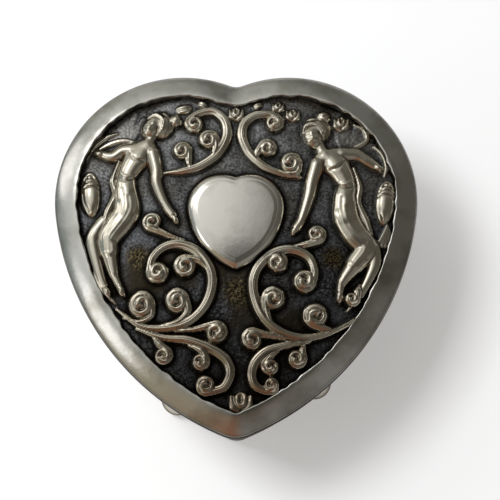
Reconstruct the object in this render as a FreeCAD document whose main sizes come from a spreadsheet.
"""A wind-up music box: a heart-shaped plated box on bun feet, with a hinged lid, a lined tray, and under
the tray a pinned-cylinder movement that a key below the base winds. Millimetres, +Z up. The origin is on
the table, under the middle of the box; the heart's tip points to -Y and its hinge is at +Y."""

import FreeCAD
import Part
import Sketcher
import math
import os

V = FreeCAD.Vector
Z_AXIS = V(0, 0, 1)

# Driving sizes, in millimetres, degrees or counts.
SIZES = {
    # The lid's outline: six tangent arcs, mirrored about the Y axis.
    "lobe_radius": 35.4,
    "lobe_y": 15.0,
    "side_radius": 75.6,
    "side_x": 25.25,
    "side_y": 20.2,
    "tip_radius": 9.0,
    "cleft_radius": 5.0,
    "least_tip": 0.8,
    # Case.
    "foot_height": 10.0,
    "foot_radius": 5.0,
    "foot_neck": 2.4,
    "foot_inset": 6.3,
    "front_left_angle": 52.0,
    "front_right_angle": 46.0,
    "rear_foot_angle": 40.0,
    "body_inset": 3.0,
    "body_wall": 1.0,
    "body_height": 36.0,
    "bead_inset": 1.3,
    "bead_height": 1.6,
    "flange_width": 4.0,
    "base_thick": 1.2,
    "case_gap": 0.3,
    # How far a cutting form runs past the face that it opens.
    "past": 1.0,
    "screw_radius": 1.0,
    "screw_head": 1.9,
    "head_height": 0.8,
    "screw_gap": 0.05,
    "slot_width": 0.5,
    "slot_depth": 0.3,
    # Tray and its support.
    "ring_wall": 2.0,
    "tray_level": 19.0,
    "tray_wall": 1.2,
    "tray_drop": 0.8,
    "tray_rear": 2.4,
    "notch_margin": 2.5,
    "pad_thick": 2.0,
    # Lid.
    "lid_skirt": 2.0,
    "lid_rise": 7.0,
    "rim_width": 6.2,
    "lid_wall": 1.0,
    "ground_drop": 1.3,
    "dome_rise": 3.2,
    "dome_reach": 40.0,
    "shield_scale": 0.265,
    "shield_y": 7.7,
    "shield_rise": 2.8,
    "shield_sink": 2.2,
    "shield_edge": 1.1,
    "scroll_radius": 1.6,
    "curl_radius": 2.3,
    "bud_radius": 1.8,
    "limb_radius": 1.5,
    "limb_neck": 0.92,
    "board_thick": 1.0,
    "lid_pad_inset": 7.6,
    "lid_pad_thick": 2.2,
    # Hinge.
    "hinge_drop": 3.2,
    "hinge_back": 0.35,
    "swing_clear": 5.8,
    "knuckle_radius": 1.5,
    "pin_radius": 0.7,
    "pin_gap": 0.05,
    "hinge_width": 18.0,
    "seat_thick": 1.6,
    "seat_margin": 1.5,
    "seat_drop": 2.0,
    "recess_depth": 12.0,
    "leaf_thick": 0.8,
    "leaf_height": 4.2,
    "leaf_foot": 8.0,
    "knuckle_gap": 0.2,
    # Movement.
    "barrel_share": 0.34,
    "train_y": 4.0,
    "bed_thick": 2.0,
    "bed_share": 0.67,
    "bed_back": 24.0,
    "bed_front": 14.0,
    "bed_margin": 1.0,
    "arbor_radius": 1.5,
    "arbor_floor": 5.4,
    "bore_gap": 0.05,
    "end_gap": 0.4,
    "side_gap": 0.8,
    "wheel_lift": 1.0,
    "wheel_thick": 1.2,
    "crown_module": 0.6,
    "crown_teeth": 40,
    "crown_face": 2.0,
    "barrel_radius": 9.5,
    "barrel_height": 9.0,
    "barrel_wall": 0.8,
    "pinion_teeth": 12,
    "spring_thick": 0.25,
    "spring_turns": 7,
    "bridge_half": 4.0,
    "bridge_thick": 1.2,
    "pillar_radius": 1.6,
    "thread_length": 3.5,
    "pillar_reach": 15.4,
    "ratchet_radius": 4.6,
    "ratchet_teeth": 20,
    "ratchet_thick": 1.0,
    "ratchet_gap": 0.2,
    "click_reach": 10.0,
    "click_thick": 1.0,
    "click_width": 1.6,
    "click_gap": 0.15,
    "drum_offset": 5.5,
    "drum_radius": 5.6,
    "drum_share": 0.42,
    "drum_wall": 0.7,
    "pin_height": 0.45,
    "drum_pin_radius": 0.22,
    "notes": 18,
    "pins_per_note": 4,
    "shaft_radius": 1.0,
    "bracket_thick": 1.5,
    "bracket_width": 7.0,
    "gear_module": 0.45,
    "gear_teeth": 24,
    "governor_teeth": 12,
    "gear_face": 1.5,
    "gear_gap": 0.7,
    "worm_module": 0.5,
    "worm_wheel_teeth": 18,
    "worm_wheel_thick": 0.9,
    "worm_radius": 1.6,
    "worm_length": 6.0,
    "worm_gap": 0.5,
    "fan_radius": 5.0,
    "fan_height": 2.6,
    "blade_thick": 0.5,
    "frame_width": 5.0,
    "frame_thick": 1.5,
    "arm_thick": 1.0,
    "tooth_share": 0.26,
    "comb_thick": 1.0,
    "bar_share": 0.18,
    "pluck_gap": 0.15,
    "comb_slot": 0.25,
    "key_wing": 9.0,
    "key_thick": 2.0,
    "key_floor": 1.6,
    "key_eye": 1.4,
    "hub_floor": 3.8,
    "hub_radius": 2.6,
    "stop_radius": 1.0,
    "stop_gap": 0.15,
}

doc = FreeCAD.newDocument("music_box")
sheet = doc.addObject("Spreadsheet::Sheet", "Sizes")
for row, (alias, value) in enumerate(SIZES.items(), start=1):
    sheet.set(f"A{row}", alias)
    sheet.set(f"B{row}", str(value))
    sheet.setAlias(f"B{row}", alias)
doc.recompute()

NODES = []


def expression(text):
    """An expression over the sheet: each bare size name in text becomes its cell."""
    words = []
    word = ""
    for letter in text + " ":
        if letter.isalnum() or letter == "_":
            word += letter
            continue
        words.append(f"Sizes.{word}" if word in SIZES else word)
        words.append(letter)
        word = ""
    return "".join(words).strip()


def size(text):
    """The number that an expression over the sheet gives now."""
    return float(sheet.evalExpression(expression(text)))


def bind(thing, **properties):
    """Bind properties to expressions; a name such as Placement_Base_x stands for Placement.Base.x."""
    for name, text in properties.items():
        thing.setExpression(name.replace("_", "."), expression(text))
    return thing


def place(thing, x="0", y="0", z="0", turn=None):
    """Bind a thing's place; turn is its fixed rotation."""
    if turn:
        thing.Placement = FreeCAD.Placement(V(0, 0, 0), FreeCAD.Rotation(*turn))
    return bind(thing, Placement_Base_x=x, Placement_Base_y=y, Placement_Base_z=z)


def node(thing, name):
    """Name a finished sub-part: the label is also its file's name."""
    thing.Label = name
    NODES.append(thing)
    return thing


ALONG_X = (V(0, 1, 0), 90)
ALONG_Y = (V(1, 0, 0), -90)


def cylinder(name, radius, height, x="0", y="0", z="0", turn=None):
    made = doc.addObject("Part::Cylinder", name)
    bind(made, Radius=radius, Height=height)
    return place(made, x, y, z, turn)


def box(name, length, width, height, x="0", y="0", z="0"):
    """A block; x, y and z are its lowest corner."""
    made = doc.addObject("Part::Box", name)
    bind(made, Length=length, Width=width, Height=height)
    return place(made, x, y, z)


def cut(name, base, *tools):
    for count, tool in enumerate(tools):
        made = doc.addObject("Part::Cut", f"{name}_cut{count}")
        made.Base = base
        made.Tool = tool
        base = made
    return base


def fuse(name, *parts):
    made = doc.addObject("Part::MultiFuse", name)
    made.Shapes = list(parts)
    made.Refine = True
    return made


def shaped(name, shape, x="0", y="0", z="0"):
    """A free-form sub-part whose shape is worked out from the sheet by a function."""
    made = doc.addObject("Part::Feature", name)
    made.Shape = shape
    return place(made, x, y, z)


# Heights of the stack, as expressions.
BODY_TOP = "(foot_height + body_height)"
BASE_Z = "(foot_height + body_wall)"
BED_Z = f"({BASE_Z} + base_thick)"
BED_TOP = f"({BED_Z} + bed_thick)"
WHEEL_Z = f"({BED_TOP} + wheel_lift)"
CROWN_PITCH_Z = f"({WHEEL_Z} + wheel_thick + 1.25 * crown_module)"
AXIS_Z = f"({CROWN_PITCH_Z} + pinion_teeth * crown_module / 2)"
CAN_Z = f"({WHEEL_Z} + wheel_thick)"
CAP_Z = f"({CAN_Z} + barrel_height)"
BRIDGE_Z = f"({CAP_Z} + barrel_wall + end_gap)"
RATCHET_Z = f"({BRIDGE_Z} + bridge_thick + ratchet_gap)"
TRAY_Z = f"({BED_Z} + tray_level)"
HINGE_Z = f"({BODY_TOP} - hinge_drop)"
LID_TOP = f"({BODY_TOP} + lid_rise)"

# The heart's derived places.
LOBE_X = "(sqrt((side_radius - lobe_radius)^2 - (side_y - lobe_y)^2) - side_x)"
NOTCH_Y = f"(lobe_y + sqrt((lobe_radius + cleft_radius)^2 - {LOBE_X}^2) - cleft_radius)"
HINGE_Y = f"({NOTCH_Y} - lid_wall - knuckle_radius - hinge_back)"
SEAT_Y = f"({HINGE_Y} - knuckle_radius - knuckle_gap)"


def heart_sketch(parent, name, inset="0", scale="1", z="0", y="0"):
    """The lid's outline drawn in by inset, as a fully constrained sketch of six tangent arcs.

    parent is the document or a body. All arcs keep their centres when drawn in, apart from the tip, which
    stays at least least_tip round and moves along the Y axis to stay tangent to the sides."""
    factor = size(scale)
    drawn = size(inset)
    lobe_r = size("lobe_radius") * factor - drawn
    side_r = size("side_radius") * factor - drawn
    cleft_r = size("cleft_radius") * factor + drawn
    tip_text = f"max(tip_radius * {scale} - ({inset}); least_tip * {scale})"
    tip_r = size(tip_text)
    lobe = V(size(LOBE_X) * factor, size("lobe_y") * factor, 0)
    side = V(-size("side_x") * factor, size("side_y") * factor, 0)
    tip = V(0, side.y - math.sqrt((side_r - tip_r) ** 2 - side.x**2), 0)
    cleft = V(0, lobe.y + math.sqrt((lobe_r + cleft_r) ** 2 - lobe.x**2), 0)

    def towards(start, end):
        return math.atan2(end.y - start.y, end.x - start.x)

    lobe_start = towards(side, lobe)
    lobe_end = towards(lobe, cleft)
    side_start = towards(side, tip)
    cleft_end = towards(cleft, lobe)
    flip = math.pi
    arcs = [
        (lobe, lobe_r, lobe_start, lobe_end),
        (side, side_r, side_start, lobe_start),
        (tip, tip_r, -flip - side_start, side_start),
        (V(-side.x, side.y, 0), side_r, flip - lobe_start, flip - side_start),
        (V(-lobe.x, lobe.y, 0), lobe_r, flip - lobe_end, flip - lobe_start),
        (cleft, cleft_r, -flip - cleft_end, cleft_end),
    ]
    if parent is doc:
        sketch = doc.addObject("Sketcher::SketchObject", name)
        place(sketch, "0", y, z)
    else:
        sketch = parent.newObject("Sketcher::SketchObject", name)
        plane = next(f for f in parent.Origin.OriginFeatures if f.Role == "XY_Plane")
        sketch.AttachmentSupport = [(plane, "")]
        sketch.MapMode = "FlatFace"
        bind(sketch, AttachmentOffset_Base_z=z, AttachmentOffset_Base_y=y)
    for centre, radius, start, end in arcs:
        circle = Part.Circle(centre, Z_AXIS, radius)
        sketch.addGeometry(Part.ArcOfCircle(circle, start, end), False)
    start, end, middle = 1, 2, 3
    joins = [(0, start, 1, end), (1, start, 2, end), (2, start, 3, end)]
    joins += [(3, start, 4, end), (4, start, 5, start), (5, end, 0, end)]
    for join in joins:
        sketch.addConstraint(Sketcher.Constraint("Tangent", *join))
    sketch.addConstraint(Sketcher.Constraint("Symmetric", 1, middle, 3, middle, -2))
    sketch.addConstraint(Sketcher.Constraint("Horizontal", 0, middle, 4, middle))
    sketch.addConstraint(Sketcher.Constraint("Equal", 0, 4))
    sketch.addConstraint(Sketcher.Constraint("Equal", 1, 3))
    driven = [
        ("lobe_radius", ("Radius", 0), f"lobe_radius * {scale} - ({inset})"),
        ("side_radius", ("Radius", 1), f"side_radius * {scale} - ({inset})"),
        ("tip_radius", ("Radius", 2), tip_text),
        ("cleft_radius", ("Radius", 5), f"cleft_radius * {scale} + ({inset})"),
        ("lobe_y", ("DistanceY", -1, 1, 0, middle), f"lobe_y * {scale}"),
        ("side_x", ("DistanceX", 1, middle, -1, 1), f"side_x * {scale}"),
        ("side_y", ("DistanceY", -1, 1, 1, middle), f"side_y * {scale}"),
    ]
    for label, kind, text in driven:
        index = sketch.addConstraint(Sketcher.Constraint(*kind, size(text)))
        sketch.renameConstraint(index, label)
        sketch.setExpression(f"Constraints.{label}", expression(text))
    return sketch


def heart_pad(body, name, inset, bottom, height):
    pad = body.newObject("PartDesign::Pad", name)
    pad.Profile = heart_sketch(body, f"{name}_outline", inset, z=bottom)
    return bind(pad, Length=height)


def heart_pocket(body, name, inset, top, depth):
    pocket = body.newObject("PartDesign::Pocket", name)
    pocket.Profile = heart_sketch(body, f"{name}_outline", inset, z=top)
    return bind(pocket, Length=depth)


def heart_block(name, inset, bottom, height):
    """A straight heart-shaped block, as a document object."""
    block = doc.addObject("Part::Extrusion", name)
    block.Base = heart_sketch(doc, f"{name}_outline", inset, z=bottom)
    block.DirMode = "Custom"
    block.Dir = Z_AXIS
    block.Solid = True
    return bind(block, LengthFwd=height)


def on_lobe(angle, inset):
    """(x, y) on the right lobe, drawn in by inset, at an angle from +X."""
    along = f"(lobe_radius - ({inset}))"
    return f"({LOBE_X} + {along} * cos({angle}))", f"(lobe_y + {along} * sin({angle}))"


def on_side(angle, inset):
    """(x, y) on the right side arc, drawn in by inset, at an angle below +X."""
    along = f"(side_radius - ({inset}))"
    return f"({along} * cos({angle}) - side_x)", f"(side_y - {along} * sin({angle}))"


def both_sides(place_xy):
    x, y = place_xy
    return [("left", f"(0 - {x})", y), ("right", x, y)]


# The movement is sized to the box: its main lengths are shares of the heart's half width.
HALF_WIDTH = f"({LOBE_X} + lobe_radius)"
BED_HALF = f"(bed_share * {HALF_WIDTH})"
DRUM_LENGTH = f"(drum_share * {HALF_WIDTH})"
TOOTH_LENGTH = f"(tooth_share * {HALF_WIDTH})"
COMB_BAR = f"(bar_share * {HALF_WIDTH})"

# Train places.
BARREL_X = f"(0 - barrel_share * {HALF_WIDTH})"
CROWN_RADIUS = "(crown_teeth * crown_module / 2)"
PINION_X = f"({BARREL_X} + {CROWN_RADIUS} - crown_face / 2)"
DRUM_X = f"({PINION_X} + drum_offset)"
LEFT_X = f"({DRUM_X} - side_gap - bracket_thick)"
GEAR_X = f"({DRUM_X} + {DRUM_LENGTH} + gear_gap)"
RIGHT_X = f"({GEAR_X} + gear_face + side_gap)"
GOVERNOR_Y = "(train_y + (gear_teeth + governor_teeth) * gear_module / 2)"
WORM_WHEEL_X = f"({RIGHT_X} + bracket_thick + side_gap)"
FAN_X = f"({WORM_WHEEL_X} + worm_wheel_thick / 2)"
FAN_Y = f"({GOVERNOR_Y} + worm_wheel_teeth * worm_module / 2 + worm_radius)"
ARM_Z = f"({AXIS_Z} + worm_length / 2 + worm_gap)"
FAN_Z = f"({ARM_Z} + arm_thick + end_gap)"
COMB_Y = "(train_y - drum_radius - pin_height - pluck_gap)"
BAR_Y = f"({COMB_Y} - {TOOTH_LENGTH})"

# Case: body shell, base plate, feet and their screws.

SCREW_INSET = "(body_inset + body_wall + flange_width / 2)"
BASE_SCREWS = both_sides(on_lobe("75", SCREW_INSET)) + both_sides(on_side("28", SCREW_INSET))


def body_shell():
    """The drawn wall, with its bead under the lid, its bottom flange and the seat for the hinge."""
    body = doc.addObject("PartDesign::Body", "body_wall_solid")
    inner = "body_inset + body_wall"
    heart_pad(body, "wall", "body_inset", "foot_height", "body_height")
    heart_pad(body, "bead", "bead_inset", f"{BODY_TOP} - bead_height", "bead_height")
    heart_pocket(body, "hollow", inner, BODY_TOP, "body_height - body_wall")
    heart_pocket(body, "base_opening", f"{inner} + flange_width", BODY_TOP, "body_height + past")
    seat_depth = f"({HINGE_Z} - leaf_height)"
    seat = box(
        "hinge_seat", "hinge_width + 2 * seat_margin", "seat_thick + body_wall",
        f"{BODY_TOP} - {seat_depth} + seat_drop",
        "0 - hinge_width / 2 - seat_margin", f"{SEAT_Y} - seat_thick", f"{seat_depth} - seat_drop",
    )
    recess = box(
        "hinge_recess", "hinge_width + 2 * case_gap", "recess_depth",
        f"{BODY_TOP} - {seat_depth} + case_gap + past",
        "0 - hinge_width / 2 - case_gap", SEAT_Y, f"{seat_depth} - case_gap",
    )
    holes = [
        cylinder(f"flange_hole{n}", "screw_radius + screw_gap", "body_wall + 2 * past", x, y,
                 "foot_height - past")
        for n, (_, x, y) in enumerate(BASE_SCREWS)
    ]
    shell = fuse("body_and_seat", body, seat)
    node(cut("body_shell", shell, recess, *holes), "body_shell")


def foot(name, x, y):
    """A bun foot: a ball cut flat below, with a neck that is soldered under the flange."""
    middle = "(0.44 * foot_height)"
    ball = doc.addObject("Part::Sphere", f"{name}_ball")
    bind(ball, Radius="foot_radius", Angle1=f"-1 * asin({middle} / foot_radius)", Angle2="60")
    place(ball, x, y, middle)
    neck = cylinder(f"{name}_neck", "foot_neck", f"foot_height - {middle}", x, y, middle)
    node(fuse(f"{name}_solid", ball, neck), name)


def feet():
    """Four feet, soldered on by hand: the front two are not quite level with each other."""
    x, y = on_side("front_left_angle", "foot_inset")
    foot("foot_front_left", f"(0 - {x})", y)
    foot("foot_front_right", *on_side("front_right_angle", "foot_inset"))
    for hand, x, y in both_sides(on_lobe("rear_foot_angle", "foot_inset")):
        foot(f"foot_rear_{hand}", x, y)


BED_EDGE = f"({BED_HALF} - 2 * screw_head)"
FRONT_EDGE = "(2.5 * screw_head - bed_front)"
MOVEMENT_SCREWS = [
    (f"(0 - {BED_EDGE})", "(bed_back - 3 * screw_head)"),
    (f"(0 - {BED_EDGE})", FRONT_EDGE),
    (BED_EDGE, FRONT_EDGE),
]


def base_plate():
    """The removable bottom, laid on the flange from inside."""
    plate = heart_block("base_sheet", "body_inset + body_wall + case_gap", BASE_Z, "base_thick")
    depth = "base_thick + 2 * past"
    under = f"{BASE_Z} - past"
    holes = [
        cylinder(f"base_hole{n}", "screw_radius + screw_gap", depth, x, y, under)
        for n, (_, x, y) in enumerate(BASE_SCREWS)
    ]
    holes += [
        cylinder(f"bed_hole{n}", "screw_radius + screw_gap", depth, x, y, under)
        for n, (x, y) in enumerate(MOVEMENT_SCREWS)
    ]
    holes.append(cylinder("key_hole", "arbor_radius + 1", depth, BARREL_X, "train_y", under))
    node(cut("base_plate", plate, *holes), "base_plate")


def screw(name, x, y, z, length, upward=True):
    """A cheese-head screw; its head bears on the height z, from below or, if not upward, from above."""
    head_z = f"{z} - head_height" if upward else z
    shank_z = z if upward else f"{z} - ({length})"
    head = cylinder(f"{name}_head", "screw_head", "head_height", x, y, head_z)
    shank = cylinder(f"{name}_shank", "screw_radius", length, x, y, shank_z)
    slot_z = head_z if upward else f"{z} + head_height - slot_depth"
    slot = box(
        f"{name}_slot", "2 * (screw_head + past)", "slot_width", "slot_depth",
        f"{x} - screw_head - past", f"{y} - slot_width / 2", slot_z,
    )
    return cut(f"{name}_solid", fuse(f"{name}_blank", head, shank), slot)


def screw_group(name, screws):
    group = doc.addObject("Part::Compound", name)
    group.Links = screws
    node(group, name)


# Tray, its support ring and the lining.

def behind(name, y, under, thick):
    """A block that takes away all of a sheet that lies behind y."""
    return box(
        name, f"4 * {HALF_WIDTH}", f"2 * {HALF_WIDTH}", f"{thick} + 2 * past",
        f"0 - 2 * {HALF_WIDTH}", y, under,
    )


def lining():
    """The heart-shaped tray on its support ring, opened at the back for the hinge, and its pad."""
    gap = "body_inset + body_wall + case_gap"
    ring = doc.addObject("PartDesign::Body", "ring_solid")
    heart_pad(ring, "ring_wall_pad", gap, BED_Z, "tray_level")
    heart_pocket(ring, "ring_hollow", f"{gap} + ring_wall", TRAY_Z, "tray_level + past")
    node(ring, "tray_support_ring")

    tray = doc.addObject("PartDesign::Body", "tray_solid")
    depth = f"{BODY_TOP} - tray_drop - {TRAY_Z}"
    heart_pad(tray, "tray_block", gap, TRAY_Z, depth)
    heart_pocket(tray, "tray_hollow", f"{gap} + tray_wall", f"{BODY_TOP} - tray_drop",
                 f"{depth} - tray_wall")
    rear = f"({SEAT_Y} - tray_rear)"
    notch = box(
        "tray_notch", "hinge_width + 2 * notch_margin", HALF_WIDTH, "body_height",
        "0 - hinge_width / 2 - notch_margin", rear, TRAY_Z,
    )
    bush = cylinder(
        "tray_stop_hole", "stop_radius + bore_gap", "tray_wall + 2 * past",
        FAN_X, FAN_Y, f"{TRAY_Z} - past",
    )
    overlap = "(notch_margin + 0.6 * tray_wall)"
    wall = box(
        "tray_rear_wall", f"hinge_width + 2 * {overlap}", "tray_wall", depth,
        f"0 - hinge_width / 2 - {overlap}", f"{rear} - tray_wall", TRAY_Z,
    )
    node(cut("tray_cut", fuse("tray_and_rear", cut("tray_open", tray, notch), wall), bush), "tray")

    pad = heart_block("tray_pad_block", f"{gap} + tray_wall + case_gap", f"{TRAY_Z} + tray_wall",
                      "pad_thick")
    under = f"{TRAY_Z} + tray_wall - past"
    back = behind("pad_back", f"{rear} - tray_wall - case_gap", under, "pad_thick")
    hole = cylinder(
        "pad_stop_hole", "stop_radius + case_gap", "pad_thick + 2 * past", FAN_X, FAN_Y, under
    )
    node(cut("tray_pad_cut", pad, back, hole), "tray_pad")


# Lid: pressed shell, backing board and pad.

RIM_PROFILE = [(0.0, 0.0), (0.03, 0.27), (0.12, 0.48), (0.36, 0.68), (0.64, 0.85), (1.0, 1.0)]


def lid_envelope(name, wall, floor):
    """The lid's outer form drawn in by wall: a sloping rim round a sunk and domed ground."""
    sections = [heart_sketch(doc, f"{name}_foot", wall, z=floor)]
    for count, (across, up) in enumerate(RIM_PROFILE):
        inset = f"{across} * rim_width + {wall}" if across < 1 else f"rim_width - 0.02 * {wall}"
        height = f"{BODY_TOP} + lid_skirt + {up} * (lid_rise - lid_skirt) - {wall}"
        sections.append(heart_sketch(doc, f"{name}_section{count}", inset, z=height))
    loft = doc.addObject("Part::Loft", f"{name}_loft")
    loft.Sections = sections
    loft.Solid = True
    loft.Ruled = True
    panel = f"rim_width - {wall}"
    sunk = heart_block(f"{name}_sunk", panel, f"{LID_TOP} - ground_drop - dome_rise", "2 * lid_rise")
    rim = cut(f"{name}_rim", loft, sunk)
    ball = doc.addObject("Part::Sphere", f"{name}_ball")
    bind(ball, Radius=f"{BALL_RADIUS} - {wall}")
    place(ball, "0", "0", BALL_Z)
    ground = doc.addObject("Part::MultiCommon", f"{name}_ground")
    ground.Shapes = [heart_block(f"{name}_panel", panel, floor, "3 * lid_rise"), ball]
    return fuse(f"{name}_envelope", rim, ground)


# Chased work on the lid. Places are in hundredths of the lid's half width. A scroll has its first
# heading in degrees and the places that its tangent arcs pass through.
SCROLLS = [
    (-8, [(-38, 44), (-20, 47), (-7, 59), (-6, 73), (-17, 79)]),
    (180, [(35, 41), (14, 47), (4, 59), (5, 71), (16, 76)]),
    (-50, [(-63, -33), (-41, -43), (-19, -34), (-13, -15), (-22, -1), (-37, 2), (-46, -7)]),
    (-142, [(63, -38), (44, -47), (23, -44), (10, -28), (12, -10), (27, -1), (42, -8)]),
    (-8, [(-53, -43), (-26, -49), (-6, -59), (-2, -69), (-9, -76)]),
    (180, [(40, -50), (18, -55), (9, -66), (15, -76)]),
]
CURLS = [
    (-22, 76), (-29, 57), (-16, 61), (20, 73), (16, 58), (27, 50), (-45, 17), (44, 12),
    (-44, -13), (-29, -9), (-50, -29), (-30, -28), (-9, -44), (39, -17), (24, -9), (22, -27), (42, -34),
    (10, -47), (-15, -71), (20, -73),
]
BUDS = [(0, 79), (31, 79), (58, 73), (4, -81), (-36, -57), (-18, -60), (19, -64), (33, -58), (63, -28)]

# The two winged figures: the places of each limb's joints.
FIGURES = [
    {
        "head": [(-45, 70)],
        "trunk": [(-52, 58), (-59, 40), (-59, 23)],
        "near_leg": [(-60, 22), (-68, 5), (-63, -12), (-60, -19)],
        "far_leg": [(-70, 19), (-78, 4), (-71, -12)],
        "inner_arm": [(-45, 57), (-42, 36), (-33, 18)],
        "outer_arm": [(-57, 60), (-68, 55), (-76, 56)],
        "wing": [(-81, 41), (-80, 33), (-78, 22)],
    },
    {
        "head": [(43, 66)],
        "trunk": [(51, 53), (58, 35), (60, 17)],
        "near_leg": [(61, 16), (73, 2), (61, -14), (57, -19)],
        "far_leg": [(70, 25), (79, 4), (72, -17)],
        "inner_arm": [(43, 51), (41, 33), (31, 14)],
        "outer_arm": [(60, 55), (70, 53), (78, 49)],
        "wing": [(82, 38), (82, 28), (80, 17)],
    },
]

# The radius at each joint, as a share of limb_radius.
LIMBS = {
    "head": [2.4],
    "trunk": [1.8, 1.6, 2.0],
    "near_leg": [2.02, 1.45, 0.8, 0.6],
    "far_leg": [1.05, 1.0, 0.65],
    "inner_arm": [1.15, 0.9, 0.6],
    "outer_arm": [1.1, 0.85, 0.55],
    "wing": [1.3, 1.5, 0.9],
}
BALL_RADIUS = "((dome_reach^2 + dome_rise^2) / (2 * dome_rise))"
BALL_Z = f"({LID_TOP} - ground_drop + dome_rise - {BALL_RADIUS})"


def on_lid(place):
    """A place given in hundredths of the lid's half width, in millimetres."""
    return V(*place, 0) * (size(HALF_WIDTH) / 100)


def on_ground(flat):
    """The point of the lid's domed ground over a flat place."""
    return V(flat.x, flat.y, size(BALL_Z) + math.sqrt(size(BALL_RADIUS) ** 2 - flat.x**2 - flat.y**2))


def tangent_arcs(heading, points):
    """A flat line of arcs, each tangent to the one before it and ending at the next point."""
    edges = []
    for start, end in zip(points, points[1:]):
        chord = end - start
        bend = math.remainder(math.atan2(chord.y, chord.x) - heading, 2 * math.pi)
        bulge = V(chord.y, -chord.x, 0) * (math.tan(bend / 2) / 2)
        edges.append(Part.Arc(start, start + chord / 2 + bulge, end).toShape())
        heading += 2 * bend
    return Part.Wire(edges)


def scroll(heading, places):
    """A round bar along tangent arcs, tilted to lie half sunk in the ground."""
    points = [on_lid(place) for place in places]
    heading = math.radians(heading)
    radius = size("scroll_radius")
    ring = Part.Circle(points[0], V(math.cos(heading), math.sin(heading), 0), radius)
    bar = tangent_arcs(heading, points).makePipeShell([Part.Wire([ring.toShape()])], True, False)
    middle = bar.BoundBox.Center
    seat = on_ground(middle)
    upright = FreeCAD.Rotation(Z_AXIS, seat - V(0, 0, size(BALL_Z)))
    bar.Placement = FreeCAD.Placement(seat - upright.multVec(middle), upright)
    return bar


def boss(place, radius):
    """A round boss, half sunk in the ground."""
    return Part.makeSphere(size(radius), on_ground(on_lid(place)))


def limb(places, shares):
    """Ball joints half sunk in the ground, with a slightly slimmer cone between each two."""
    joints = [on_ground(on_lid(place)) for place in places]
    radii = [share * size("limb_radius") for share in shares]
    forms = [Part.makeSphere(radius, joint) for joint, radius in zip(joints, radii)]
    slim = size("limb_neck")
    for n in range(len(joints) - 1):
        reach = joints[n + 1] - joints[n]
        forms.append(Part.makeCone(slim * radii[n], slim * radii[n + 1], reach.Length, joints[n], reach))
    return forms


def chased_work():
    """The relief of the lid: scrolls, curled leaves, buds and the two winged figures."""
    forms = [scroll(heading, places) for heading, places in SCROLLS]
    forms += [boss(place, "curl_radius") for place in CURLS]
    forms += [boss(place, "bud_radius") for place in BUDS]
    for figure in FIGURES:
        for name, places in figure.items():
            forms += limb(places, LIMBS[name])
    return shaped("chased_work", forms[0].multiFuse(forms[1:]))


def lid_shell():
    """The pressed lid: its rim, its chased ground and the smooth heart shield standing up in the middle."""
    outer = lid_envelope("lid_outer", "0", BODY_TOP)
    inner = lid_envelope("lid_inner", "lid_wall", f"{BODY_TOP} - past")
    low = f"{LID_TOP} - ground_drop + dome_rise - shield_sink"
    tall = "(shield_rise + shield_sink)"
    heights = [
        ("0", low),
        ("0", f"{low} + 0.53 * {tall}"),
        ("0.3 * shield_edge", f"{low} + 0.68 * {tall}"),
        ("shield_edge", f"{low} + 0.8 * {tall}"),
        ("2 * shield_edge", f"{low} + 0.89 * {tall}"),
        ("4 * shield_edge", f"{low} + {tall}"),
    ]
    sections = [
        heart_sketch(doc, f"shield_section{n}", inset, "shield_scale", z, "shield_y")
        for n, (inset, z) in enumerate(heights)
    ]
    shield = doc.addObject("Part::Loft", "shield_loft")
    shield.Sections = sections
    shield.Solid = True
    shield.Ruled = True
    pressing = fuse("lid_pressing", outer, chased_work(), shield)
    node(cut("lid_shell", pressing, inner), "lid_shell")


def lid_inside():
    """The backing board in the lid's skirt and the pad below it; both stop short of the hinge's swing."""
    rear = f"({HINGE_Y} - swing_clear)"
    board = heart_block("board_sheet", "lid_wall + bore_gap", BODY_TOP, "board_thick")
    off_board = behind("board_behind", rear, f"{BODY_TOP} - past", "board_thick")
    node(cut("lid_board_cut", board, off_board), "lid_board")
    pad = heart_block("lid_pad_block", "lid_pad_inset", f"{BODY_TOP} - lid_pad_thick", "lid_pad_thick")
    under = f"{BODY_TOP} - lid_pad_thick - past"
    off_pad = behind("pad_behind", f"{rear} - 2 * case_gap", under, "lid_pad_thick")
    node(cut("lid_pad_cut", pad, off_pad), "lid_pad")


# Hinge.

OUTER_KNUCKLE = "(0.28 * hinge_width)"
MIDDLE_KNUCKLE = f"(hinge_width - 2 * {OUTER_KNUCKLE} - 2 * knuckle_gap)"


def knuckle(name, start, length):
    return cylinder(name, "knuckle_radius", length, start, HINGE_Y, HINGE_Z, ALONG_X)


def pin_bore(name, gap):
    half = "(hinge_width / 2 + past)"
    return cylinder(name, f"pin_radius + {gap}", f"2 * {half}", f"0 - {half}", HINGE_Y, HINGE_Z, ALONG_X)


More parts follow.
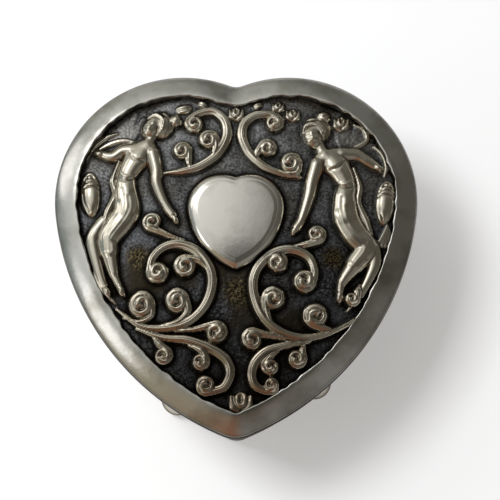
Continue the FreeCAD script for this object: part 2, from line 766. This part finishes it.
def hinge():
    """A three-knuckle butt hinge sunk in the cleft, on one wire pin."""
    left = "0 - hinge_width / 2"
    middle = f"0 - {MIDDLE_KNUCKLE} / 2"
    clear = "(knuckle_radius + 0.25)"
    plate = box(
        "body_leaf_plate", "hinge_width", "leaf_thick", "leaf_height",
        left, SEAT_Y, f"{HINGE_Z} - leaf_height",
    )
    gap = box(
        "body_leaf_gap", f"{MIDDLE_KNUCKLE} + 2 * knuckle_gap", "leaf_thick + 2 * past", "leaf_height",
        f"{middle} - knuckle_gap", f"{SEAT_Y} - past", f"{HINGE_Z} - {clear}",
    )
    ends = [knuckle("body_knuckle_left", left, OUTER_KNUCKLE)]
    ends.append(knuckle("body_knuckle_right", f"hinge_width / 2 - {OUTER_KNUCKLE}", OUTER_KNUCKLE))
    leaf = fuse("body_leaf_blank", cut("body_leaf_open", plate, gap), *ends)
    node(cut("body_leaf", leaf, pin_bore("body_leaf_bore", "0")), "hinge_leaf_body")

    top = f"({BODY_TOP} + board_thick)"
    back = f"({HINGE_Y} + knuckle_radius - leaf_thick)"
    upright = box(
        "lid_leaf_plate", "hinge_width", "leaf_thick", f"{top} + leaf_thick - {HINGE_Z} - {clear}",
        left, back, f"{HINGE_Z} + {clear}",
    )
    tail = box(
        "lid_leaf_tail", MIDDLE_KNUCKLE, "leaf_thick", "knuckle_radius + 1", middle, back, HINGE_Z
    )
    foot_length = f"{back} + leaf_thick - {HINGE_Y} + swing_clear + leaf_foot"
    over = box(
        "lid_leaf_foot", "hinge_width", foot_length, "leaf_thick",
        left, f"{HINGE_Y} - swing_clear - leaf_foot", top,
    )
    barrel = knuckle("lid_knuckle", middle, MIDDLE_KNUCKLE)
    leaf = fuse("lid_leaf_blank", upright, tail, over, barrel)
    node(cut("lid_leaf", leaf, pin_bore("lid_leaf_bore", "pin_gap")), "hinge_leaf_lid")
    node(cylinder("hinge_pin_rod", "pin_radius", "hinge_width", left, HINGE_Y, HINGE_Z, ALONG_X),
         "hinge_pin")


# Winding: key, arbor, ratchet and click.

def key():
    """A butterfly key: two pierced ears on a hub."""
    ear_radius = "((foot_height - 2 * key_floor) / 2)"
    ear_z = f"({ear_radius} + key_floor)"
    pieces = [cylinder("key_hub", "hub_radius", "foot_height + end_gap - hub_floor",
                       BARREL_X, "train_y", "hub_floor")]
    holes = [cylinder("key_bore", "arbor_radius", "2 * foot_height", BARREL_X, "train_y", "arbor_floor")]
    front = "train_y - key_thick / 2"
    for hand, sign in (("left", "-"), ("right", "+")):
        x = f"{BARREL_X} {sign} (key_wing - {ear_radius})"
        pieces.append(cylinder(f"key_ear_{hand}", ear_radius, "key_thick", x, front, ear_z, ALONG_Y))
        holes.append(cylinder(f"key_eye_{hand}", "key_eye", "key_thick + 2 * past", x, f"{front} - past",
                              ear_z, ALONG_Y))
    node(cut("key", fuse("key_blank", *pieces), *holes), "winding_key")


def toothed(teeth, rings, phase=0.0):
    """A toothed outline as a face: rings gives (radius, share of half a pitch) from root to tip."""
    half = math.pi / teeth
    flank = [(radius, -share) for radius, share in rings]
    profile = flank + [(radius, -share) for radius, share in reversed(flank)]
    points = []
    for tooth in range(teeth):
        middle = phase + 2 * half * tooth
        for radius, share in profile:
            angle = middle + share * half
            points.append(V(radius * math.cos(angle), radius * math.sin(angle), 0))
    return Part.Face(Part.makePolygon(points + points[:1]))


def spur(teeth, module, thick, bore, phase=0.0):
    """A spur wheel about the X axis, its first tooth towards +Y before it is turned by phase."""
    pitch = teeth * module / 2
    rings = [(pitch - 1.2 * module, 0.66), (pitch, 0.42), (pitch + 0.9 * module, 0.2)]
    wheel = toothed(teeth, rings, phase).extrude(V(0, 0, thick))
    wheel = wheel.cut(Part.makeCylinder(bore, thick))
    wheel.Placement = FreeCAD.Placement(V(0, 0, 0), FreeCAD.Rotation(V(1, 1, 1), 120))
    return wheel


def ratchet():
    """A saw-toothed wheel tight on the arbor."""
    tip = size("ratchet_radius")
    rings = [(tip - 0.8, 0.98), (tip, -0.6)]
    teeth = int(size("ratchet_teeth"))
    half = math.pi / teeth
    points = []
    for tooth in range(teeth):
        for radius, share in rings:
            angle = 2 * half * tooth + share * half
            points.append(V(radius * math.cos(angle), radius * math.sin(angle), 0))
    blank = Part.Face(Part.makePolygon(points + points[:1])).extrude(V(0, 0, size("ratchet_thick")))
    return blank.cut(Part.makeCylinder(size("arbor_radius"), size("ratchet_thick")))


def winding():
    """The key's arbor up through the barrel, with a ratchet and click above the bridge."""
    key()
    arbor_length = f"{RATCHET_Z} + ratchet_thick + end_gap - arbor_floor"
    arbor = cylinder("arbor", "arbor_radius", arbor_length, BARREL_X, "train_y", "arbor_floor")
    node(arbor, "winding_arbor")
    node(shaped("ratchet", ratchet(), BARREL_X, "train_y", RATCHET_Z), "ratchet_wheel")
    click_y = "(train_y + click_reach)"
    nose_y = "(train_y + ratchet_radius + click_gap)"
    eye = cylinder("click_eye", "2 * screw_radius", "click_thick", BARREL_X, click_y, RATCHET_Z)
    arm = box(
        "click_arm", "click_width", f"{click_y} - {nose_y}", "click_thick",
        f"{BARREL_X} - click_width / 2", nose_y, RATCHET_Z,
    )
    hole = cylinder(
        "click_hole", "screw_radius + screw_gap", "click_thick + 2 * past",
        BARREL_X, click_y, f"{RATCHET_Z} - past",
    )
    node(cut("click", fuse("click_blank", eye, arm), hole), "ratchet_click")
    stud_z = f"({RATCHET_Z} + click_thick + 0.1)"
    stud = screw("click_stud", BARREL_X, click_y, stud_z, f"{stud_z} - {BRIDGE_Z}", upward=False)
    node(stud, "click_screw")


# Power: great wheel, spring barrel, mainspring and bridge.

def crown_wheel():
    """A disc with a ring of upright teeth, one of them towards +X."""
    mean = size(CROWN_RADIUS)
    module = size("crown_module")
    face = size("crown_face") + 0.2
    thick = size("wheel_thick")
    pitch = math.pi * module
    high = 2.15 * module
    root, tip = 0.3 * pitch, 0.1 * pitch
    inner = mean - face / 2
    outline = [V(inner, -root, -0.2), V(inner, root, -0.2), V(inner, tip, high), V(inner, -tip, high)]
    tooth = Part.Face(Part.makePolygon(outline + outline[:1])).extrude(V(face, 0, 0))
    tooth.translate(V(0, 0, thick))
    teeth = []
    for count in range(int(size("crown_teeth"))):
        turned = tooth.copy()
        turned.rotate(V(0, 0, 0), Z_AXIS, 360.0 * count / size("crown_teeth"))
        teeth.append(turned)
    disc = Part.makeCylinder(mean + face / 2 + 0.1, thick)
    disc = disc.cut(Part.makeCylinder(size("arbor_radius + bore_gap"), thick))
    return disc.multiFuse(teeth)


def spring_strip():
    """The mainspring: a strip wound as an even spiral, its outer end against the barrel's wall."""
    half = size("spring_thick") / 2
    start = size("arbor_radius") + 0.9
    end = size("barrel_radius - barrel_wall") - half
    turns = size("spring_turns")
    steps = int(16 * turns)

    def edge(side):
        points = []
        for step in range(steps + 1):
            angle = 2 * math.pi * turns * step / steps
            radius = start + (end - start) * step / steps + side * half
            points.append(V(radius * math.cos(angle), radius * math.sin(angle), 0))
        curve = Part.BSplineCurve()
        curve.interpolate(points)
        return curve.toShape()

    inner, outer = edge(-1), edge(1)
    ends = [Part.makeLine(a.Point, b.Point) for a, b in zip(inner.Vertexes, outer.Vertexes)]
    wire = Part.Wire([inner, ends[1], outer, ends[0]])
    return Part.Face(wire).extrude(V(0, 0, size("barrel_height - 2 * end_gap")))


def power():
    """The great wheel, the spring barrel on it with its spring and cap, and the bridge over them."""
    node(shaped("crown", crown_wheel(), BARREL_X, "train_y", WHEEL_Z), "great_wheel")
    can = cylinder("can_outside", "barrel_radius", "barrel_height", BARREL_X, "train_y", CAN_Z)
    room = cylinder(
        "can_inside", "barrel_radius - barrel_wall", "barrel_height + 2 * past",
        BARREL_X, "train_y", f"{CAN_Z} - past",
    )
    node(cut("can", can, room), "spring_barrel")
    cap = cylinder("cap_disc", "barrel_radius", "barrel_wall", BARREL_X, "train_y", CAP_Z)
    bore = cylinder(
        "cap_bore", "arbor_radius + bore_gap", "barrel_wall + 2 * past",
        BARREL_X, "train_y", f"{CAP_Z} - past",
    )
    node(cut("cap", cap, bore), "barrel_cap")
    node(shaped("spring", spring_strip(), BARREL_X, "train_y", f"{CAN_Z} + end_gap"), "mainspring")

    long = "(pillar_reach + pillar_radius + 0.6)"
    bar = box(
        "bridge_bar", "2 * bridge_half", f"2 * {long}", "bridge_thick",
        f"{BARREL_X} - bridge_half", f"train_y - {long}", BRIDGE_Z,
    )
    pieces = [bar]
    through, under = "bridge_thick + 2 * past", f"{BRIDGE_Z} - past"
    click_y = "train_y + click_reach"
    holes = [
        cylinder("bridge_bore", "arbor_radius + bore_gap", through, BARREL_X, "train_y", under),
        cylinder("stud_hole", "screw_radius", through, BARREL_X, click_y, under),
    ]
    screws = []
    top, tap = f"{BRIDGE_Z} + bridge_thick", "bridge_thick + thread_length"
    for end, sign in (("front", "-"), ("back", "+")):
        y = f"train_y {sign} pillar_reach"
        tall = f"{BRIDGE_Z} - {BED_TOP}"
        pieces.append(cylinder(f"pillar_{end}", "pillar_radius", tall, BARREL_X, y, BED_TOP))
        holes.append(cylinder(f"pillar_hole_{end}", "screw_radius", f"{tap} + past", BARREL_X, y,
                              f"{BRIDGE_Z} - thread_length"))
        screws.append(screw(f"bridge_screw_{end}", BARREL_X, y, top, tap, upward=False))
    node(cut("bridge", fuse("bridge_blank", *pieces), *holes), "barrel_bridge")
    screw_group("bridge_screws", screws)


# Bed plate and brackets.

def bed():
    """The movement's plate: an oblong with a tongue under the comb, trimmed to the box's inside."""
    main = box(
        "bed_main", f"2 * {BED_HALF}", "bed_back + bed_front", "bed_thick",
        f"0 - {BED_HALF}", "0 - bed_front", BED_Z,
    )
    front = f"({BAR_Y} - {COMB_BAR} - bed_margin)"
    tongue = box(
        "bed_tongue", f"{DRUM_LENGTH} + 2 * bed_margin", f"2 * bed_margin - bed_front - {front}",
        "bed_thick", f"{DRUM_X} - bed_margin", front, BED_Z,
    )
    inside = "body_inset + body_wall + ring_wall + 3 * case_gap"
    trimmed = doc.addObject("Part::MultiCommon", "bed_trimmed")
    trimmed.Shapes = [fuse("bed_blank", main, tongue),
                      heart_block("bed_limit", inside, BED_Z, "bed_thick")]
    depth = "bed_thick + 2 * past"
    under = f"{BED_Z} - past"
    holes = [cylinder("bed_bore", "arbor_radius + bore_gap", depth, BARREL_X, "train_y", under)]
    holes.append(cylinder("fan_foot_bore", "0.6 * shaft_radius + bore_gap", depth, FAN_X, FAN_Y, under))
    holes += [
        cylinder(f"bed_tap{n}", "screw_radius", depth, x, y, under)
        for n, (x, y) in enumerate(MOVEMENT_SCREWS)
    ]
    node(cut("bed", trimmed, *holes), "bed_plate")


def bracket(name, x, back, bores):
    """An upright bearing plate with a bore for each arbor."""
    high = f"{AXIS_Z} + 3 * shaft_radius - {BED_TOP}"
    front = "train_y - bracket_width / 2"
    plate = box(f"{name}_plate", "bracket_thick", f"{back} - ({front})", high, x, front, BED_TOP)
    holes = [
        cylinder(f"{name}_bore{n}", "shaft_radius + bore_gap", "bracket_thick + 2 * past", f"{x} - past", y,
                 AXIS_Z, ALONG_X)
        for n, y in enumerate(bores)
    ]
    node(cut(name, plate, *holes), name)


# Music: pinned cylinder, its arbor and wheels, and the comb.

def pinned_drum():
    """The drum with a row of short pins for each note, set out by an even rule."""
    radius, length = size("drum_radius"), size(DRUM_LENGTH)
    tube = Part.makeCylinder(radius, length).cut(Part.makeCylinder(radius - size("drum_wall"), length))
    bore, plug = size("shaft_radius"), 2 * size("drum_wall")
    for start in (0.0, length - plug):
        end = Part.makeCylinder(radius - size("drum_wall") / 2, plug, V(0, 0, start))
        tube = tube.fuse(end.cut(Part.makeCylinder(bore, plug, V(0, 0, start))))
    notes, each = int(size("notes")), int(size("pins_per_note"))
    thick, root = size("drum_pin_radius"), size("drum_wall") / 2
    pins = []
    for note in range(notes):
        along = length * (note + 0.5) / notes
        for count in range(each):
            angle = math.radians(137.5 * note + 360.0 * count / each + 12)
            out = V(math.cos(angle), math.sin(angle), 0)
            foot_point = out * (radius - root) + V(0, 0, along)
            pins.append(Part.makeCylinder(thick, root + size("pin_height"), foot_point, out))
    drum = tube.multiFuse(pins)
    drum.Placement = FreeCAD.Placement(V(0, 0, 0), FreeCAD.Rotation(V(1, 1, 1), 120))
    return drum


def placed_wheel(name, wheel, x, y):
    node(shaped(name, wheel, x, y, AXIS_Z), name)


def music():
    """The pinned cylinder on its arbor, with a pinion and a gear at its ends, between two brackets."""
    placed_wheel("cylinder_drum", pinned_drum(), DRUM_X, "train_y")
    start = f"({PINION_X} - end_gap)"
    long = f"{RIGHT_X} + bracket_thick + end_gap - {start}"
    shaft = cylinder("drum_shaft", "shaft_radius", long, start, "train_y", AXIS_Z, ALONG_X)
    node(shaft, "cylinder_arbor")
    pinion_teeth = int(size("pinion_teeth"))
    gap_down = -math.pi / 2 + math.pi / pinion_teeth
    bore = size("shaft_radius")
    pinion = spur(pinion_teeth, size("crown_module"), size("crown_face"), bore, gap_down)
    placed_wheel("cylinder_pinion", pinion, PINION_X, "train_y")
    gear = spur(int(size("gear_teeth")), size("gear_module"), size("gear_face"), bore)
    placed_wheel("cylinder_gear", gear, GEAR_X, "train_y")
    bracket("cylinder_bracket_left", LEFT_X, "(train_y + bracket_width / 2)", ["train_y"])
    bracket("cylinder_bracket_right", RIGHT_X, f"({GOVERNOR_Y} + bracket_width / 2)",
            ["train_y", GOVERNOR_Y])


def comb():
    """The steel comb, slotted between its notes, on a block and held by two screws."""
    under, heel = f"({AXIS_Z} - comb_thick / 2)", f"({BAR_Y} - {COMB_BAR})"
    plate = box(
        "comb_plate", DRUM_LENGTH, f"{TOOTH_LENGTH} + {COMB_BAR}", "comb_thick", DRUM_X, heel, under
    )
    slots = doc.addObject("Part::Compound", "comb_slots")
    slots.Links = [
        box(
            f"comb_slot{note}", "comb_slot", f"{TOOTH_LENGTH} + past", "comb_thick + 2 * past",
            f"{DRUM_X} + {note} * {DRUM_LENGTH} / notes - comb_slot / 2", BAR_Y, f"{under} - past",
        )
        for note in range(1, int(size("notes")))
    ]
    block = box("comb_block", DRUM_LENGTH, COMB_BAR, f"{under} - {BED_TOP}", DRUM_X, heel, BED_TOP)
    holes, taps, screws = [], [], []
    top = f"({AXIS_Z} + comb_thick / 2)"
    for end, share in (("left", "0.2"), ("right", "0.8")):
        x, y = f"({DRUM_X} + {share} * {DRUM_LENGTH})", f"({BAR_Y} - {COMB_BAR} / 2)"
        holes.append(cylinder(f"comb_hole_{end}", "screw_radius + screw_gap", "comb_thick + 2 * past",
                              x, y, f"{under} - past"))
        taps.append(cylinder(f"comb_tap_{end}", "screw_radius", "thread_length + past", x, y,
                             f"{under} - thread_length"))
        screws.append(screw(f"comb_screw_{end}", x, y, top, "comb_thick + thread_length", upward=False))
    node(cut("comb", plate, slots, *holes), "comb")
    node(cut("comb_base", block, *taps), "comb_base")
    screw_group("comb_screws", screws)


# Governor: pinion, worm wheel, worm and air brake.

def worm():
    """An upright worm: a thread swept along a helix round a core, with a thin shaft through it."""
    module, length = size("worm_module"), size("worm_length")
    pitch = math.pi * module
    root, tip = size("worm_radius") - 1.1 * module, size("worm_radius") + 0.85 * module
    helix = Part.makeHelix(pitch, length - 1.2, root)
    wide, narrow = 0.27 * pitch, 0.11 * pitch
    outline = [V(root - 0.1, 0, -wide), V(tip, 0, -narrow), V(tip, 0, narrow), V(root - 0.1, 0, wide)]
    thread = Part.Wire(helix).makePipeShell([Part.makePolygon(outline + outline[:1])], True, True)
    # A groove lies against the wheel's tooth, at -Y of the worm, at rest.
    turn = 270 - 360 * ((length / 2 - 0.6) / pitch + 0.5)
    thread.rotate(V(0, 0, 0), Z_AXIS, turn)
    thread.translate(V(0, 0, 0.6 - length / 2))
    core = Part.makeCylinder(root, length, V(0, 0, -length / 2))
    low, high = size(f"{BED_TOP} - {AXIS_Z} - 1.5"), size(f"{FAN_Z} - {AXIS_Z} + fan_height")
    shaft = Part.makeCylinder(0.6 * size("shaft_radius"), high - low, V(0, 0, low))
    return core.multiFuse([thread, shaft])


def governor():
    """The speed governor: a pinion and worm wheel that spin an upright worm with an air brake fan."""
    bore = size("shaft_radius")
    teeth = int(size("governor_teeth"))
    pinion = spur(teeth, size("gear_module"), size("gear_face"), bore, math.pi + math.pi / teeth)
    placed_wheel("governor_pinion", pinion, GEAR_X, GOVERNOR_Y)
    wheel = spur(int(size("worm_wheel_teeth")), size("worm_module"), size("worm_wheel_thick"), bore)
    placed_wheel("governor_wheel", wheel, WORM_WHEEL_X, GOVERNOR_Y)
    long = f"{WORM_WHEEL_X} + worm_wheel_thick + end_gap - {GEAR_X}"
    shaft = cylinder("governor_shaft", "shaft_radius", long, GEAR_X, GOVERNOR_Y, AXIS_Z, ALONG_X)
    node(shaft, "governor_arbor")
    placed_wheel("governor_worm", worm(), FAN_X, FAN_Y)

    hub = cylinder("fan_hub", "1.5 * shaft_radius", "fan_height + end_gap", FAN_X, FAN_Y, FAN_Z)
    blade = box(
        "fan_blade", "2 * fan_radius", "blade_thick", "fan_height",
        f"{FAN_X} - fan_radius", f"{FAN_Y} - blade_thick / 2", FAN_Z,
    )
    hole = cylinder("fan_hole", "0.6 * shaft_radius", "fan_height", FAN_X, FAN_Y, FAN_Z)
    node(cut("fan", fuse("fan_blank", hub, blade), hole), "air_brake_fan")

    left, back = f"{FAN_X} - frame_width / 2", f"({FAN_Y} + 2 * frame_thick)"
    post = box("frame_post", "frame_width", "frame_thick", f"{ARM_Z} + arm_thick - {BED_TOP}", left,
               back, BED_TOP)
    arm = box("frame_arm", "frame_width", "4.5 * frame_thick", "arm_thick", left,
              f"{back} - 3.5 * frame_thick", ARM_Z)
    toe = "(0.8 * frame_width)"
    foot_plate = box("frame_foot", toe, toe, "arm_thick", f"{FAN_X} + 0.4 * frame_width",
                     f"{back} + frame_thick - {toe}", BED_TOP)
    eye = cylinder("frame_eye", "0.6 * shaft_radius + bore_gap", "3 * arm_thick", FAN_X, FAN_Y,
                   f"{ARM_Z} - arm_thick")
    node(cut("frame", fuse("frame_blank", post, arm, foot_plate), eye), "governor_frame")

    low = f"({FAN_Z} + fan_height + end_gap + stop_gap)"
    high = f"({BODY_TOP} - lid_pad_thick - end_gap)"
    node(cylinder("stop_pin", "stop_radius", f"{high} - {low}", FAN_X, FAN_Y, low), "stop_rod")


doc.recompute()
body_shell()
feet()
base_plate()
under_base = [
    screw(f"base_screw{n}", x, y, "foot_height", "body_wall + base_thick")
    for n, (_, x, y) in enumerate(BASE_SCREWS)
]
screw_group("base_screws", under_base)
into_bed = [
    screw(f"bed_screw{n}", x, y, BASE_Z, "base_thick + 0.8 * bed_thick")
    for n, (x, y) in enumerate(MOVEMENT_SCREWS)
]
screw_group("movement_screws", into_bed)
lining()
lid_shell()
lid_inside()
hinge()
bed()
power()
winding()
music()
comb()
governor()
doc.recompute()

# Every object must be sound before anything is written.
for thing in doc.Objects:
    if "Invalid" in thing.State or "Error" in thing.State:
        raise RuntimeError(f"{thing.Label}: {thing.getStatusString()}")
for thing in NODES:
    if thing.Shape.isNull() or not thing.Shape.isValid():
        raise RuntimeError(f"{thing.Label} has no valid shape")
os.makedirs("parts", exist_ok=True)
for thing in NODES:
    thing.Shape.exportStep(f"parts/{thing.Label}.step")
    print(thing.Label, len(thing.Shape.Solids), round(thing.Shape.Volume, 2), thing.Shape.BoundBox)
